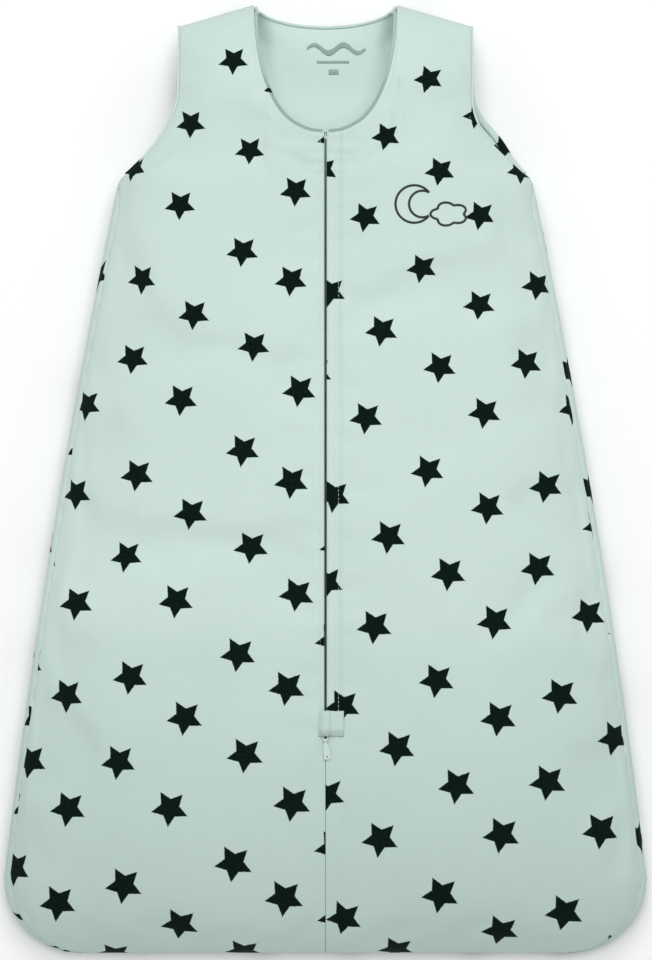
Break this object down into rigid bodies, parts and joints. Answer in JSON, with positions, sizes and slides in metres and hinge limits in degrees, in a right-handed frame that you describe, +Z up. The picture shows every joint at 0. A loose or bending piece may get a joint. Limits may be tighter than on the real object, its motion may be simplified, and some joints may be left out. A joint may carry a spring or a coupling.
{
  "type": "baby sleeping bag",
  "caption": "Sleeveless padded baby sleeping bag with a rounded hem, a deep neckline and a zip down the front under soft fabric lips.",
  "frame": {"origin": "under the middle of the bag, on the surface it rests on", "axes": "+Z up out of the zipped front, +Y from the hem to the shoulders, +X towards the wearer's left"},
  "size_m": [0.514, 0.758, 0.0969],
  "materials": {
    "outer_jersey": "knitted cotton jersey, mint with a scattered small star print",
    "binding_jersey": "self-fabric binding with a single line of stitching",
    "lining_jersey": "plain knitted cotton lining",
    "wadding": "soft polyester wadding",
    "zip_tape": "woven tape",
    "zip_coil": "moulded nylon coil",
    "zip_metal": "painted die-cast metal",
    "pull_tab": "painted, colour-matched to the cloth",
    "stay_tape": "narrow cotton tape",
    "neck_print": "thin heat-pressed print",
    "label_tape": "satin label tape, blank",
    "embroidery_thread": "embroidered outline"
  },
  "bodies": {
    "bag": {"back_outer": "outer_jersey", "back_wadding": "wadding", "back_lining": "lining_jersey", "front_left_outer": "outer_jersey", "front_left_wadding": "wadding", "front_left_lining": "lining_jersey", "front_right_outer": "outer_jersey", "front_right_wadding": "wadding", "front_right_lining": "lining_jersey", "front_left_fold": "outer_jersey", "front_right_fold": "outer_jersey", "zip_tape_left_lower": "zip_tape", "zip_tape_right_lower": "zip_tape", "zip_coil_left_lower": "zip_coil", "zip_coil_right_lower": "zip_coil", "zip_bottom_stop": "zip_metal", "zip_garage": "outer_jersey", "neck_binding_back": "binding_jersey", "neck_binding_left": "binding_jersey", "neck_binding_right": "binding_jersey", "armhole_binding_left": "binding_jersey", "armhole_binding_right": "binding_jersey", "shoulder_tape_left": "stay_tape", "shoulder_tape_right": "stay_tape", "neck_print": "neck_print", "chest_embroidery": "embroidery_thread"},
    "left_lapel": {"lapel_left_outer": "outer_jersey", "lapel_left_wadding": "wadding", "lapel_left_lining": "lining_jersey", "zip_tape_left_upper": "zip_tape", "zip_coil_left_upper": "zip_coil", "zip_top_stop_left": "zip_metal", "lapel_left_binding": "binding_jersey"},
    "right_lapel": {"lapel_right_outer": "outer_jersey", "lapel_right_wadding": "wadding", "lapel_right_lining": "lining_jersey", "zip_tape_right_upper": "zip_tape", "zip_coil_right_upper": "zip_coil", "zip_top_stop_right": "zip_metal", "lapel_right_binding": "binding_jersey"},
    "zip_slider": {"zip_slider": "zip_metal"},
    "pull_tab": {"zip_pull_tab": "pull_tab"},
    "care_label": {"care_label": "label_tape"}
  },
  "joints": [
    {"name": "zip_slide", "type": "slide", "parent": "bag", "child": "zip_slider", "axis": [0, -1, 0], "range_m": [-0.466, 0]},
    {"name": "pull_tab_flip", "type": "hinge", "parent": "zip_slider", "child": "pull_tab", "pos_m": [0, -0.2092, 0.09375], "axis": [-1, 0, 0], "range_deg": [0, 110]},
    {"name": "left_front_fold", "type": "hinge", "parent": "bag", "child": "left_lapel", "pos_m": [0.001, -0.18, 0.0882], "axis": [0.0902, 0.9959, 0], "range_deg": [0, 135], "deforming": ["front_left_fold"]},
    {"name": "right_front_fold", "type": "hinge", "parent": "bag", "child": "right_lapel", "pos_m": [-0.001, -0.18, 0.0882], "axis": [0.0902, -0.9959, 0], "range_deg": [0, 135], "deforming": ["front_right_fold"]},
    {"name": "care_label_flip", "type": "hinge", "parent": "bag", "child": "care_label", "pos_m": [0.2055, -0.14, 0.0286], "axis": [0, 1, 0], "range_deg": [0, 50]}
  ]
}
